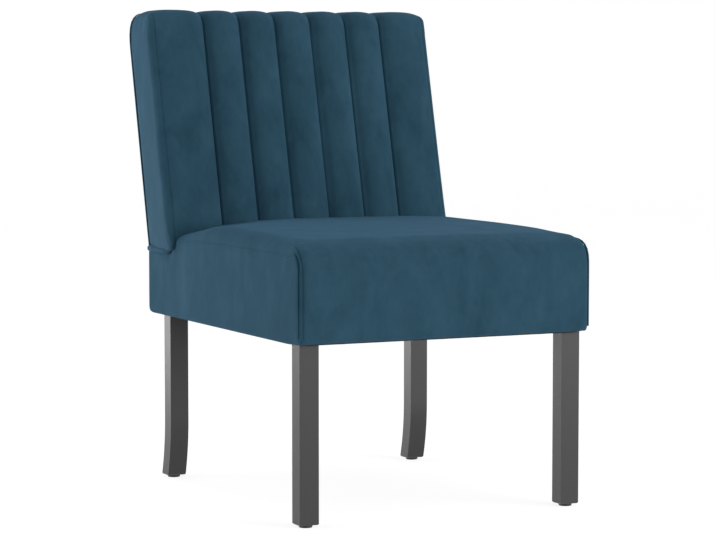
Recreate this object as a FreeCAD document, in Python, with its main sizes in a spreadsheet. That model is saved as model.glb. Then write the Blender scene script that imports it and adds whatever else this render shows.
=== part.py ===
import FreeCAD, Part
import math
import os
from FreeCAD import Placement, Rotation, Vector

# A slipper chair: a raked back with sewn channels on a boxed seat with four slim square legs.
# The origin is on the floor under the middle of the outline, +Z is up and the front faces -Y.
# Left and right are as seen from the front, so left is towards -X.

document = FreeCAD.newDocument("SlipperChair")
sheet = document.addObject("Spreadsheet::Sheet", "Sizes")

driving = [
    ("seat_wide", 480, "seat over its side panels"),
    ("seat_front", -347, "front face of the seat"),
    ("seat_rear", 265, "rear face of the seat and of the foot of the back"),
    ("seat_low", 270.6, "underside of the seat cover"),
    ("seat_high", 414.5, "seat top near the front roll"),
    ("seat_crown", 4, "rise of the seat top across its width"),
    ("seat_swell", 5.5, "rise of the seat top from the front to its middle"),
    ("front_roll", 48, "radius of the waterfall edge"),
    ("side_roll", 21, "roll of the seat top over the side panels"),
    ("corner_roll", 13, "roll of the seat front round to the side panels"),
    ("back_seam", 380, "height where the back stands on the seat box"),
    ("back_wide", 500, "back over its front corners"),
    ("back_narrow", 486, "back over its rear corners"),
    ("back_high", 770, "top of the back"),
    ("back_deep", 130, "back through its thickness, square to its face"),
    ("rake", 13.9, "lean of the back from upright, in degrees"),
    ("rake_start", 384, "height where the rear face starts to lean"),
    ("top_front_roll", 30, "radius over the front top edge"),
    ("top_rear_roll", 50, "radius over the rear top edge"),
    ("channel_pitch", 64.8, "from one channel seam to the next"),
    ("channel_deep", 7, "depth of a channel seam"),
    ("channel_count", 7, "channels across the back"),
    ("back_corner", 14, "radius of the upright front corners"),
    ("cloth", 2, "velvet with its backing"),
    ("welt_thick", 4, "diameter of the welts and pipings"),
    ("rail_thick", 25, "timber of the side and rear rails and the posts"),
    ("front_rail_thick", 19, "timber of the front rail"),
    ("rail_tall", 76.4, "height of the seat rails"),
    ("frame_inset", 8, "outer face of the timber behind the cover"),
    ("post_foot", 45, "depth of the posts in the seat box"),
    ("post_deep", 30, "depth of the posts in the back"),
    ("post_high", 712, "top of the posts"),
    ("back_rail_tall", 50, "height of the back rails along the rake"),
    ("board_thick", 3, "support board of the back"),
    ("block_leg", 45, "short side of a corner block"),
    ("block_tall", 50, "height of a corner block"),
    ("dowel_thick", 8, "dowel diameter"),
    ("dowel_long", 30, "dowel length"),
    ("leg_wide", 31, "leg across"),
    ("leg_deep", 26.7, "leg front to rear"),
    ("leg_side_inset", 4.7, "leg behind the seat side"),
    ("front_leg_inset", 20.6, "front legs behind the seat front"),
    ("rear_leg_inset", 55.4, "rear legs before the seat rear"),
    ("leg_kick", 13.7, "how far a rear leg's foot sets back"),
    ("kick_high", 98, "height where a rear leg starts to curve"),
    ("glide_wide", 20, "glide diameter"),
    ("glide_tall", 4, "glide under the leg"),
    ("bolt_thick", 8, "hanger bolt diameter"),
    ("bolt_long", 75, "hanger bolt length"),
    ("bolt_in_leg", 42, "hanger bolt in the leg"),
    ("insert_thick", 12, "threaded insert diameter"),
    ("insert_long", 18, "threaded insert length"),
    ("web_wide", 50, "webbing strap"),
    ("web_thick", 1.5, "webbing strap"),
    ("play", 0.1, "radial clearance round bolts and dowels"),
]
for line, (alias, value, meaning) in enumerate(driving, start=1):
    sheet.set("A%d" % line, alias)
    sheet.set("B%d" % line, str(value))
    sheet.set("C%d" % line, meaning)
    sheet.setAlias("B%d" % line, alias)
document.recompute()


def size(alias):
    return float(sheet.get(alias))


seat_wide = size("seat_wide")
seat_front = size("seat_front")
seat_rear = size("seat_rear")
seat_low = size("seat_low")
back_seam = size("back_seam")
back_high = size("back_high")
back_deep = size("back_deep")
rake = size("rake")
rake_start = size("rake_start")
pitch = size("channel_pitch")
channel_deep = size("channel_deep")
channels = int(size("channel_count"))
cloth = size("cloth")
play = size("play")
lean = math.tan(math.radians(rake))
frame_low = seat_low + cloth
frame_side = seat_wide / 2 - size("frame_inset")
frame_front = seat_front + size("frame_inset")
frame_rear = seat_rear - size("frame_inset")
rail_thick = size("rail_thick")
rail_top = frame_low + size("rail_tall")
rail_inner = frame_side - rail_thick
post_front = frame_rear - size("post_foot")
web_thick = size("web_thick")
deck = rail_top + 2 * web_thick
deck_cloth = 1.0
foam_low = deck + deck_cloth

nodes = []


def keep(item, label):
    """Give an object its own label and list it as a sub-part."""
    item.Label = label
    nodes.append(item)
    return item


def bind(item, **cells):
    for name, formula in cells.items():
        item.setExpression(name, formula)
    return item


def loose_box(name, corner, length, width, height):
    """A box whose three sizes follow the sheet; corner is its lowest corner."""
    item = document.addObject("Part::Box", name)
    bind(item, Length=length, Width=width, Height=height)
    item.Placement = Placement(Vector(*corner), Rotation())
    return item


def loose_rod(name, start, axis, radius, length):
    item = document.addObject("Part::Cylinder", name)
    bind(item, Radius=radius, Height=length)
    item.Placement = Placement(start, Rotation(Vector(0, 0, 1), axis))
    return item


def group(name, items):
    item = document.addObject("Part::Compound", name)
    item.Links = items
    return item


def drilled(label, blank, drills):
    item = document.addObject("Part::Cut", label)
    item.Base = blank
    item.Tool = group(label + "_drills", drills)
    return keep(item, label)


def shaped(label, solid):
    item = document.addObject("Part::Feature", label)
    item.Shape = solid
    return keep(item, label)


def rounded_edges(corners, closed=True):
    """Edges in the YZ plane through corners (y, z, radius), each corner an arc of its radius."""
    count = len(corners)
    starts, ends, middles = [], [], []
    for index, (y, z, radius) in enumerate(corners):
        here = Vector(0, y, z)
        inner = closed or 0 < index < count - 1
        if radius <= 0 or not inner:
            starts.append(here)
            ends.append(here)
            middles.append(None)
            continue
        before = Vector(0, *corners[index - 1][:2]) - here
        after = Vector(0, *corners[(index + 1) % count][:2]) - here
        before.normalize()
        after.normalize()
        half = before.getAngle(after) / 2
        inward = (before + after).normalize()
        starts.append(here + before * (radius / math.tan(half)))
        ends.append(here + after * (radius / math.tan(half)))
        middles.append(here + inward * (radius / math.sin(half) - radius))
    edges = []
    for index in range(count):
        if middles[index]:
            arc = Part.Arc(starts[index], middles[index], ends[index])
            edges.append(arc.toShape())
        last = index == count - 1
        if last and not closed:
            break
        target = starts[(index + 1) % count]
        if (target - ends[index]).Length > 1e-6:
            edges.append(Part.LineSegment(ends[index], target).toShape())
    return edges


def outline(corners, x=0.0):
    wire = Part.Wire(rounded_edges(corners))
    wire.translate(Vector(x, 0, 0))
    return wire


def plate(corners, x_low, x_high):
    """A side outline carried from x_low to x_high."""
    return Part.Face(outline(corners, x_low)).extrude(Vector(x_high - x_low, 0, 0))


def block(low, high):
    span = Vector(*high) - Vector(*low)
    return Part.makeBox(span.x, span.y, span.z, Vector(*low))


def front_of_back(z):
    """Y of the plane that the channel crowns touch, at height z."""
    return rear_of_back(z) - back_deep / math.cos(math.radians(rake))


def rear_of_back(z):
    return seat_rear + lean * (z - rake_start)


# Legs and what fastens them

leg_wide = size("leg_wide")
leg_deep = size("leg_deep")
glide_tall = size("glide_tall")
leg_x = seat_wide / 2 - size("leg_side_inset") - leg_wide / 2
leg_rows = {
    "front": seat_front + size("front_leg_inset") + leg_deep / 2,
    "rear": seat_rear - size("rear_leg_inset") - leg_deep / 2,
}
sides = {"left": -1, "right": 1}
leg_soft_edge = 1.5


def origin_plane(body, role):
    for feature in body.Origin.OriginFeatures:
        if feature.Role == role:
            return feature
    raise ValueError(role)


def side_sketch(body, name, edges):
    sketch = body.newObject("Sketcher::SketchObject", name)
    sketch.AttachmentSupport = [(origin_plane(body, "YZ_Plane"), "")]
    sketch.MapMode = "FlatFace"
    for geometry in edges:
        sketch.addGeometry(geometry, False)
    return sketch


def flat_points(points):
    """Closed run of straight sketch lines through (y, z) points."""
    ring = [Vector(y, z, 0) for y, z in points]
    return [Part.LineSegment(ring[i - 1], ring[i]) for i in range(len(ring))]


def leg_outline(kick):
    """Side outline of a leg: square and straight, or with its foot set back on one arc."""
    half = leg_deep / 2
    high = seat_low
    low = glide_tall
    if not kick:
        return flat_points([(-half, low), (half, low), (half, high), (-half, high)])
    bend = size("kick_high")
    mid = (low + bend) / 2
    front_arc = Part.Arc(
        Vector(-half, bend, 0), Vector(kick / 4 - half, mid, 0), Vector(kick - half, low, 0)
    )
    rear_arc = Part.Arc(
        Vector(kick + half, low, 0), Vector(kick / 4 + half, mid, 0), Vector(half, bend, 0)
    )
    return [
        Part.LineSegment(Vector(-half, high, 0), Vector(-half, bend, 0)),
        front_arc,
        Part.LineSegment(Vector(kick - half, low, 0), Vector(kick + half, low, 0)),
        rear_arc,
        Part.LineSegment(Vector(half, bend, 0), Vector(half, high, 0)),
        Part.LineSegment(Vector(half, high, 0), Vector(-half, high, 0)),
    ]


def make_leg(row, side):
    label = "%s_%s_leg" % (row, side)
    kick = size("leg_kick") if row == "rear" else 0
    body = document.addObject("PartDesign::Body", label + "_blank")
    sketch = side_sketch(body, label + "_outline", leg_outline(kick))
    pad = body.newObject("PartDesign::Pad", label + "_pad")
    pad.Profile = sketch
    pad.setExpression("Length", "Sizes.leg_wide")
    document.recompute()
    foot = [
        "Edge%d" % (number + 1)
        for number, edge in enumerate(pad.Shape.Edges)
        if edge.BoundBox.ZMax < glide_tall + 0.01
    ]
    chamfer = body.newObject("PartDesign::Chamfer", label + "_foot")
    chamfer.Base = (pad, foot)
    chamfer.Size = leg_soft_edge
    body.Tip = chamfer
    centre = Vector(sides[side] * leg_x, leg_rows[row], 0)
    body.Placement = Placement(centre - Vector(leg_wide / 2, 0, 0), Rotation())
    bolt_foot = centre + Vector(0, 0, seat_low - size("bolt_in_leg"))
    nail_foot = centre + Vector(0, kick, 0)
    up = Vector(0, 0, 1)
    bolt_hole_radius = "Sizes.bolt_thick / 2 + Sizes.play"
    nail_hole_radius = "1.25"
    drills = [
        loose_rod(label + "_bolt_hole", bolt_foot, up, bolt_hole_radius, "Sizes.bolt_long"),
        loose_rod(label + "_nail_hole", nail_foot, up, nail_hole_radius, "Sizes.glide_tall + 12.5"),
    ]
    return drilled(label, body, drills)


def make_glide(row, side):
    """A nylon disc with a rounded rim on a short nail."""
    label = "%s_%s_glide" % (row, side)
    kick = size("leg_kick") if row == "rear" else 0
    foot = Vector(sides[side] * leg_x, leg_rows[row] + kick, 0)
    up = Vector(0, 0, 1)
    disc = loose_rod(label + "_disc", foot, up, "Sizes.glide_wide / 2", "Sizes.glide_tall")
    document.recompute()
    rim = document.addObject("Part::Fillet", label + "_rim")
    rim.Base = disc
    low_edge = [
        number + 1
        for number, edge in enumerate(disc.Shape.Edges)
        if edge.BoundBox.ZMax < 0.01
    ]
    rim.Edges = [(number, 1.0, 1.0) for number in low_edge]
    nail = loose_rod(label + "_nail", foot + Vector(0, 0, 1), up, "1.1", "Sizes.glide_tall + 10")
    item = document.addObject("Part::Fuse", label)
    item.Base = rim
    item.Tool = nail
    return keep(item, label)


for row in leg_rows:
    for side in sides:
        make_leg(row, side)
        make_glide(row, side)

leg_tops = [Vector(sides[side] * leg_x, leg_rows[row], seat_low) for row in leg_rows for side in sides]
up = Vector(0, 0, 1)
bolt_sunk = Vector(0, 0, size("bolt_in_leg"))
bolts = [
    loose_rod("leg_bolt", top - bolt_sunk, up, "Sizes.bolt_thick / 2", "Sizes.bolt_long")
    for top in leg_tops
]
keep(group("leg_hanger_bolts", bolts), "leg_hanger_bolts")


def insert_sleeve(top):
    foot = top + Vector(0, 0, cloth)
    outer = loose_rod("insert_body", foot, up, "Sizes.insert_thick / 2", "Sizes.insert_long")
    thread = loose_rod("insert_thread", foot, up, "Sizes.bolt_thick / 2 + Sizes.play", "Sizes.insert_long")
    sleeve = document.addObject("Part::Cut", "insert_sleeve")
    sleeve.Base = outer
    sleeve.Tool = thread
    return sleeve


keep(group("leg_threaded_inserts", [insert_sleeve(top) for top in leg_tops]), "leg_threaded_inserts")

# Seat frame

dowel_long = size("dowel_long")
dowel_heights = [frame_low + 46, frame_low + 64]
along_y = Vector(0, 1, 0)
along_x = Vector(1, 0, 0)
rail_middle = frame_side - rail_thick / 2
front_joint = frame_front + size("front_rail_thick")
rear_joint = frame_rear - rail_thick
block_leg = size("block_leg")
block_low = frame_low + 6
screw_play = 0.1
screw_thick = 4
screw_in_rail = 16


def seat_dowel_starts():
    """Start and direction of each dowel of the seat frame."""
    starts = []
    for sign in sides.values():
        for height in dowel_heights:
            for joint in (front_joint, post_front):
                starts.append((Vector(sign * rail_middle, joint - dowel_long / 2, height), along_y))
            inner = sign * rail_inner - dowel_long / 2
            starts.append((Vector(inner, rear_joint + rail_thick / 2, height), along_x))
    return starts


def block_screw_spots():
    """Start, direction and length of the two screws through each corner block."""
    spots = []
    near, far = 0.4 * block_leg, 0.6 * block_leg
    for row in leg_rows:
        toward = 1 if row == "front" else -1
        corner_y = front_joint if row == "front" else rear_joint
        for sign in sides.values():
            into_side = Vector(sign * (rail_inner - near), corner_y + toward * far, block_low + 14)
            into_end = Vector(sign * (rail_inner - far), corner_y + toward * near, block_low + 36)
            spots.append((into_side, Vector(sign, 0, 0)))
            spots.append((into_end, Vector(0, -toward, 0)))
    return spots


def dowel_holes(label, starts):
    """Holes a little longer and wider than the dowels they take."""
    deep = 1.0
    return [
        loose_rod(
            label + "_dowel_hole",
            start - axis * deep,
            axis,
            "Sizes.dowel_thick / 2 + Sizes.play",
            "Sizes.dowel_long + %g" % (2 * deep),
        )
        for start, axis in starts
    ]


def dowels(label, starts):
    rods = [
        loose_rod(label + "_rod", start, axis, "Sizes.dowel_thick / 2", "Sizes.dowel_long")
        for start, axis in starts
    ]
    keep(group(label, rods), label)


def insert_holes(label):
    holes = []
    for top in leg_tops:
        foot = top + Vector(0, 0, cloth - 1)
        bore = "Sizes.bolt_thick / 2 + Sizes.play"
        seat = "Sizes.insert_thick / 2 + Sizes.play"
        holes.append(loose_rod(label + "_insert_hole", foot, up, seat, "Sizes.insert_long + 1"))
        holes.append(loose_rod(label + "_bolt_hole", top, up, bore, "Sizes.bolt_long"))
    return holes


def screw_holes(label):
    radius = "%g" % (screw_thick / 2 + screw_play)
    length = "Sizes.block_leg * 0.4 + %g" % (screw_in_rail + 3)
    return [
        loose_rod(label + "_screw_hole", spot - axis, axis, radius, length)
        for spot, axis in block_screw_spots()
    ]


seat_starts = seat_dowel_starts()
inner_width = "Sizes.seat_wide - 2 * Sizes.frame_inset"
between_posts = inner_width + " - 2 * Sizes.rail_thick"
side_length = (
    "Sizes.seat_rear - Sizes.seat_front - 2 * Sizes.frame_inset - Sizes.front_rail_thick - Sizes.post_foot"
)
front_rail = loose_box(
    "front_rail_blank",
    (-frame_side, frame_front, frame_low),
    inner_width,
    "Sizes.front_rail_thick",
    "Sizes.rail_tall",
)
drilled("seat_front_rail", front_rail, dowel_holes("front_rail", seat_starts) + screw_holes("front_rail"))
rear_rail = loose_box(
    "rear_rail_blank",
    (-rail_inner, rear_joint, frame_low),
    between_posts,
    "Sizes.rail_thick",
    "Sizes.rail_tall",
)
drilled("seat_rear_rail", rear_rail, dowel_holes("rear_rail", seat_starts) + screw_holes("rear_rail"))
for side, sign in sides.items():
    label = "seat_%s_rail" % side
    x = sign * rail_middle - rail_thick / 2
    blank = loose_box(
        label + "_blank",
        (x, front_joint, frame_low),
        "Sizes.rail_thick",
        side_length,
        "Sizes.rail_tall",
    )
    drilled(label, blank, dowel_holes(label, seat_starts) + insert_holes(label) + screw_holes(label))
dowels("seat_frame_dowels", seat_starts)


def make_corner_block(row, side):
    """A triangular timber block glued and screwed into an inner corner of the seat frame."""
    label = "%s_%s_corner_block" % (row, side)
    sign = sides[side]
    toward = 1 if row == "front" else -1
    corner_y = front_joint if row == "front" else rear_joint
    body = document.addObject("PartDesign::Body", label + "_blank")
    sketch = body.newObject("Sketcher::SketchObject", label + "_outline")
    sketch.AttachmentSupport = [(origin_plane(body, "XY_Plane"), "")]
    sketch.MapMode = "FlatFace"
    for line in flat_points([(0, 0), (-sign * block_leg, 0), (0, toward * block_leg)]):
        sketch.addGeometry(line, False)
    pad = body.newObject("PartDesign::Pad", label + "_pad")
    pad.Profile = sketch
    pad.setExpression("Length", "Sizes.block_tall")
    body.Placement = Placement(Vector(sign * rail_inner, corner_y, block_low), Rotation())
    return drilled(label, body, screw_holes(label))


for row in leg_rows:
    for side in sides:
        make_corner_block(row, side)

screw_radius = "%g" % (screw_thick / 2)
screw_long = "Sizes.block_leg * 0.4 + %g" % screw_in_rail
screws = [
    loose_rod("block_screw", spot, axis, screw_radius, screw_long)
    for spot, axis in block_screw_spots()
]
keep(group("corner_block_screws", screws), "corner_block_screws")

# Back frame, in a frame that leans with the back from where its rear face starts to lean

lean_turn = Rotation(Vector(1, 0, 0), -rake)
lean_origin = Vector(0, seat_rear, rake_start)
upright = math.cos(math.radians(rake))
post_deep = size("post_deep")
post_high = size("post_high")
frame_depth = size("frame_inset")
board_front = frame_depth + post_deep + size("board_thick")
back_rail_rises = {"lower": 22, "middle": 150, "top": 277}


def leaned(x, depth, rise):
    """Point at x, depth in front of the rear face of the back and rise along it."""
    return lean_origin + lean_turn.multVec(Vector(x, -depth, rise))


def depth_y(depth, z):
    """Y at height z of the plane that lies depth in front of the rear face."""
    return rear_of_back(z) - depth / upright


def leaned_box(name, x, depth, rise, length, width, height):
    item = loose_box(name, (0, 0, 0), length, width, height)
    item.Placement = Placement(leaned(x, depth, rise), lean_turn)
    return item


def back_dowel_starts():
    starts = []
    middle = frame_depth + post_deep / 2
    for rise in back_rail_rises.values():
        for sign in sides.values():
            for step in (14, 36):
                inner = sign * rail_inner - dowel_long / 2
                starts.append((leaned(inner, middle, rise + step), along_x))
    return starts


back_starts = back_dowel_starts()


def make_post(side):
    """A post sawn in one piece: upright in the seat box, leaning above it."""
    label = "back_%s_post" % side
    kink = rake_start + (frame_depth / upright - frame_depth) / lean
    inner_depth = frame_depth + post_deep
    points = [
        (post_front, frame_low),
        (frame_rear, frame_low),
        (frame_rear, kink),
        (depth_y(frame_depth, post_high), post_high),
        (depth_y(inner_depth, post_high), post_high),
        (depth_y(inner_depth, rake_start), rake_start),
        (post_front, rail_top),
    ]
    body = document.addObject("PartDesign::Body", label + "_blank")
    sketch = side_sketch(body, label + "_outline", flat_points(points))
    pad = body.newObject("PartDesign::Pad", label + "_pad")
    pad.Profile = sketch
    pad.setExpression("Length", "Sizes.rail_thick")
    x = sides[side] * rail_middle - rail_thick / 2
    body.Placement = Placement(Vector(x, 0, 0), Rotation())
    return drilled(label, body, dowel_holes(label, seat_starts + back_starts))


for side in sides:
    make_post(side)
for name, rise in back_rail_rises.items():
    label = "back_%s_rail" % name
    blank = leaned_box(
        label + "_blank",
        -rail_inner,
        frame_depth + post_deep,
        rise,
        between_posts,
        "Sizes.post_deep",
        "Sizes.back_rail_tall",
    )
    drilled(label, blank, dowel_holes(label, back_starts))
dowels("back_frame_dowels", back_starts)
board = leaned_box(
    "back_support_board", -frame_side, board_front, 4, inner_width, "Sizes.board_thick", "322"
)
keep(board, "back_support_board")

# Webbing and deck cloth

web_wide = size("web_wide")
lengthwise_x = [-150, -50, 50, 150]
crosswise_y = [-270, -170, -70, 30, 130]
lengthwise = [
    loose_box(
        "web_strap",
        (x - web_wide / 2, frame_front, rail_top),
        "Sizes.web_wide",
        "Sizes.seat_rear - Sizes.seat_front - 2 * Sizes.frame_inset",
        "Sizes.web_thick",
    )
    for x in lengthwise_x
]
keep(group("seat_webbing_lengthwise", lengthwise), "seat_webbing_lengthwise")
crosswise = [
    loose_box(
        "web_strap",
        (-frame_side, y - web_wide / 2, rail_top + web_thick),
        inner_width,
        "Sizes.web_wide",
        "Sizes.web_thick",
    )
    for y in crosswise_y
]
keep(group("seat_webbing_crosswise", crosswise), "seat_webbing_crosswise")
hessian = loose_box(
    "deck_cloth",
    (-frame_side, frame_front, deck),
    inner_width,
    "Sizes.seat_rear - Sizes.seat_front - 2 * Sizes.frame_inset",
    "%g" % deck_cloth,
)
post_ways = [
    loose_box(
        "deck_cloth_post_way",
        (sign * rail_middle - rail_thick / 2, post_front, rail_top),
        "Sizes.rail_thick",
        "Sizes.post_foot",
        "20",
    )
    for sign in sides.values()
]
drilled("seat_deck_cloth", hessian, post_ways)

# Seat: one crowned form lofted across the chair, with a waterfall front and rolled sides

side_roll = size("side_roll")
front_turn = size("corner_roll")
front_roll = size("front_roll")
seat_middle = -60
seat_gap = 0.5


def seat_corners(inset, drop, front_drop, rise):
    """Corners of the seat's side outline, drawn in by inset, and by a drop along top and front."""
    front = seat_front + inset + front_drop
    top = size("seat_high") - inset - drop + rise
    crest = top + size("seat_swell")
    behind = crest - 1.5
    gap = seat_gap + inset
    return [
        (front, seat_low + inset, 5 - inset / 2),
        (front, top, front_roll - inset - drop),
        (seat_middle, crest, 5000),
        (front_of_back(behind) - gap, behind, 5),
        (front_of_back(back_seam) - gap, back_seam, 0),
        (seat_rear - inset, back_seam, 0),
        (seat_rear - inset, seat_low + inset, 8 - inset),
    ]


def seat_form(inset):
    sections = []
    roll = side_roll - inset
    turn = front_turn - inset
    for angle in (0, 25, 50, 90):
        across = math.cos(math.radians(angle))
        down = 1 - math.sin(math.radians(angle))
        x = seat_wide / 2 - inset - roll * (1 - across)
        sections.append((x, roll * down, turn * down, 0.0))
    shoulder = sections[-1][0]
    for x in (110, 0):
        sections.append((x, 0, 0, size("seat_crown") * (1 - (x / shoulder) ** 2)))
    half = [(x, seat_corners(inset, drop, front_drop, rise)) for x, drop, front_drop, rise in sections]
    wires = [outline(corners, -x) for x, corners in half]
    wires += [outline(corners, x) for x, corners in reversed(half[:-1])]
    return Part.makeLoft(wires, True, True)


far = 1000
seat_outer = seat_form(0)
seat_inner = seat_form(cloth)
inner_side = seat_wide / 2 - cloth
foam = seat_inner.common(block((-far, -far, foam_low), (far, far, far)))
for sign in sides.values():
    inner_x, outer_x = sorted((sign * rail_inner, sign * frame_side))
    foam = foam.cut(block((inner_x, post_front, 0), (outer_x, frame_rear, far)))
shaped("seat_foam", foam)
wadding_space = block((-far, -far, 0), (far, far, foam_low))
frame_space = block((-frame_side, frame_front, 0), (frame_side, frame_rear, far))
shaped("seat_rail_wadding", seat_inner.common(wadding_space).cut(frame_space))

return_wide = 32
return_front = seat_front + return_wide
return_rear = seat_rear - return_wide
return_side = seat_wide / 2 - return_wide
cover = seat_outer.cut(seat_inner)
bolt_ways = Part.makeCompound([
    Part.makeCylinder(size("bolt_thick") / 2 + play, 20, top - Vector(0, 0, 10)) for top in leg_tops
])
waterfall_space = block((-inner_side, -far, 0), (inner_side, return_front, far)).fuse(
    block((-inner_side, -far, back_seam + 1), (inner_side, front_of_back(back_seam) - 4, far))
)
top_rear = [
    (front_of_back(back_seam) - 9, back_seam + 1, 0),
    (front_of_back(back_seam) + 60, back_seam + 1, 0),
    (front_of_back(back_seam) + 60, back_seam + 100, 0),
    (front_of_back(back_seam) - 9, back_seam + 100, 0),
]
waterfall_space = waterfall_space.fuse(plate(top_rear, -inner_side, inner_side))
seat_cover_panel = cover.common(waterfall_space).cut(bolt_ways)
shaped("seat_waterfall_cover", seat_cover_panel)
rear_space = block((-inner_side, return_rear, 0), (inner_side, far, back_seam))
shaped("seat_rear_cover", cover.common(rear_space).cut(bolt_ways))
for side, sign in sides.items():
    reach = sorted((sign * inner_side, sign * far))
    under = sorted((sign * return_side, sign * inner_side))
    face = seat_outer.common(block((reach[0], -far, 0), (reach[1], far, far)))
    turned = block((under[0], return_front, 0), (under[1], return_rear, frame_low))
    folded = seat_outer.common(turned)
    shaped("seat_%s_panel" % side, face.fuse(folded).removeSplitter().cut(bolt_ways))

welt_radius = size("welt_thick") / 2
welt_gap = 0.05
welt_in = 2.5


def tube(edges, radius):
    path = Part.Wire(edges)
    start = edges[0].valueAt(edges[0].FirstParameter)
    along = edges[0].tangentAt(edges[0].FirstParameter)
    ring = Part.Wire([Part.makeCircle(radius, start, along)])
    return path.makePipeShell([ring], True, False)


def make_welt(side):
    """The welt stands on the side panel along its rolled top and front edges."""
    corners = seat_corners(welt_in, side_roll, front_turn, 0)
    front_low, front_top, crest, behind, ledge = corners[:5]
    run = [
        (ledge[0] - 3, back_seam + 3, 0),
        (behind[0] - 1, behind[1], 8),
        (crest[0], crest[1], 3000),
        (front_top[0], front_top[1], 24),
        (front_low[0], front_low[1] + 1, 0),
    ]
    edges = rounded_edges(run, closed=False)
    x = sides[side] * (seat_wide / 2 + welt_radius + welt_gap)
    solid = tube(edges, welt_radius)
    solid.translate(Vector(x, 0, 0))
    return shaped("seat_%s_welt" % side, solid)


for side in sides:
    make_welt(side)

# Back: channels swept up the leaning front, over the top and down to the rear seam

back_half = size("back_wide") / 2
corner = size("back_corner")
skin_depth = 28
arc_radius = (pitch ** 2 / 4 + channel_deep ** 2) / (2 * channel_deep)
foot_z = back_seam - 20
back_foot = back_seam + 0.3


def channel_profile(inset):
    """Closed face of the padding across the chair: x across, y outwards, the crowns at y = -inset."""
    seam_low = math.sqrt((arc_radius - inset) ** 2 - pitch ** 2 / 4) - arc_radius
    crown = -inset
    edge = back_half - inset
    first_seam = -(channels - 2) / 2 * pitch
    points_x = [first_seam + pitch * k for k in range(channels - 1)]
    quarter = math.asin(pitch / 2 / (arc_radius - inset)) / 2
    rise = (arc_radius - inset) * math.cos(quarter) - arc_radius
    shift = (arc_radius - inset) * math.sin(quarter)
    slant = math.sqrt(0.5) * (corner - inset)
    outer_x = points_x[-1] + pitch / 2
    corner_x = back_half - corner
    right = [
        Part.Arc(
            Vector(points_x[-1], seam_low, 0), Vector(outer_x - shift, rise, 0), Vector(outer_x, crown, 0)
        ),
        Part.LineSegment(Vector(outer_x, crown, 0), Vector(corner_x, crown, 0)),
        Part.Arc(
            Vector(corner_x, crown, 0),
            Vector(corner_x + slant, slant - corner, 0),
            Vector(edge, -corner, 0),
        ),
        Part.LineSegment(Vector(edge, -corner, 0), Vector(edge, -skin_depth, 0)),
    ]
    edges = [piece.toShape() for piece in right]
    edges += [edge_shape.mirror(Vector(), Vector(1, 0, 0)) for edge_shape in edges]
    for left_x, right_x in zip(points_x[:-1], points_x[1:]):
        low_left = Vector(left_x, seam_low, 0)
        high = Vector((left_x + right_x) / 2, crown, 0)
        edges.append(Part.Arc(low_left, high, Vector(right_x, seam_low, 0)).toShape())
    edges.append(Part.LineSegment(Vector(edge, -skin_depth, 0), Vector(-edge, -skin_depth, 0)).toShape())
    return Part.Face(Part.Wire(Part.sortEdges(edges)[0]))


back_path_corners = [
    (front_of_back(foot_z), foot_z, 0),
    (front_of_back(back_high), back_high, size("top_front_roll")),
    (rear_of_back(back_high), back_high, size("top_rear_roll")),
    (rear_of_back(foot_z), foot_z, 0),
]
back_path = rounded_edges(back_path_corners, closed=False)[:4]


def swept_padding(inset):
    """The padding, one solid for each straight or round stretch of the path."""
    solids = []
    for edge in back_path:
        start = edge.valueAt(edge.FirstParameter)
        along = edge.tangentAt(edge.FirstParameter)
        outward = Vector(0, -along.z, along.y)
        face = channel_profile(inset)
        tilt = math.degrees(math.atan2(outward.z, outward.y))
        face.Placement = Placement(start, Rotation(Vector(1, 0, 0), tilt))
        if isinstance(edge.Curve, Part.Circle):
            turn = math.degrees(edge.Length / edge.Curve.Radius)
            solids.append(face.revolve(edge.Curve.Center, Vector(-1, 0, 0), turn))
        else:
            solids.append(face.extrude(along * edge.Length))
    return solids


def back_core(inset):
    """What the padding wraps, out to the rear face."""
    front_arc = back_path[1]
    rear_arc = back_path[3]
    centre = rear_arc.Curve.Center
    end = rear_arc.valueAt(rear_arc.LastParameter)
    middle = rear_arc.valueAt((rear_arc.FirstParameter + rear_arc.LastParameter) / 2)
    start = rear_arc.valueAt(rear_arc.FirstParameter)
    inner_share = 1 - skin_depth / rear_arc.Curve.Radius
    points = [centre + (spot - centre) * inner_share for spot in (start, middle, end)]
    outward = (end - centre).normalize()
    inner_top = back_high - skin_depth
    inner_front = skin_depth / upright
    rear_top = end - outward * inset
    front_low = Vector(0, front_of_back(foot_z) + inner_front, foot_z)
    rear_low = Vector(0, depth_y(inset, foot_z), foot_z)
    arc_centre = front_arc.Curve.Center
    arc_share = 1 - skin_depth / front_arc.Curve.Radius
    front_points = [
        arc_centre + (front_arc.valueAt(front_arc.FirstParameter * (1 - k) + front_arc.LastParameter * k)
                      - arc_centre) * arc_share
        for k in (0, 0.5, 1)
    ]
    edges = [
        Part.LineSegment(front_low, front_points[0]).toShape(),
        Part.Arc(*front_points).toShape(),
        Part.LineSegment(front_points[2], points[0]).toShape(),
        Part.Arc(*points).toShape(),
        Part.LineSegment(points[2], rear_top).toShape(),
        Part.LineSegment(rear_top, rear_low).toShape(),
        Part.LineSegment(rear_low, front_low).toShape(),
    ]
    wire = Part.Wire(edges)
    edge = back_half - inset
    wire.translate(Vector(-edge, 0, 0))
    return Part.Face(wire).extrude(Vector(2 * edge, 0, 0))


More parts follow.
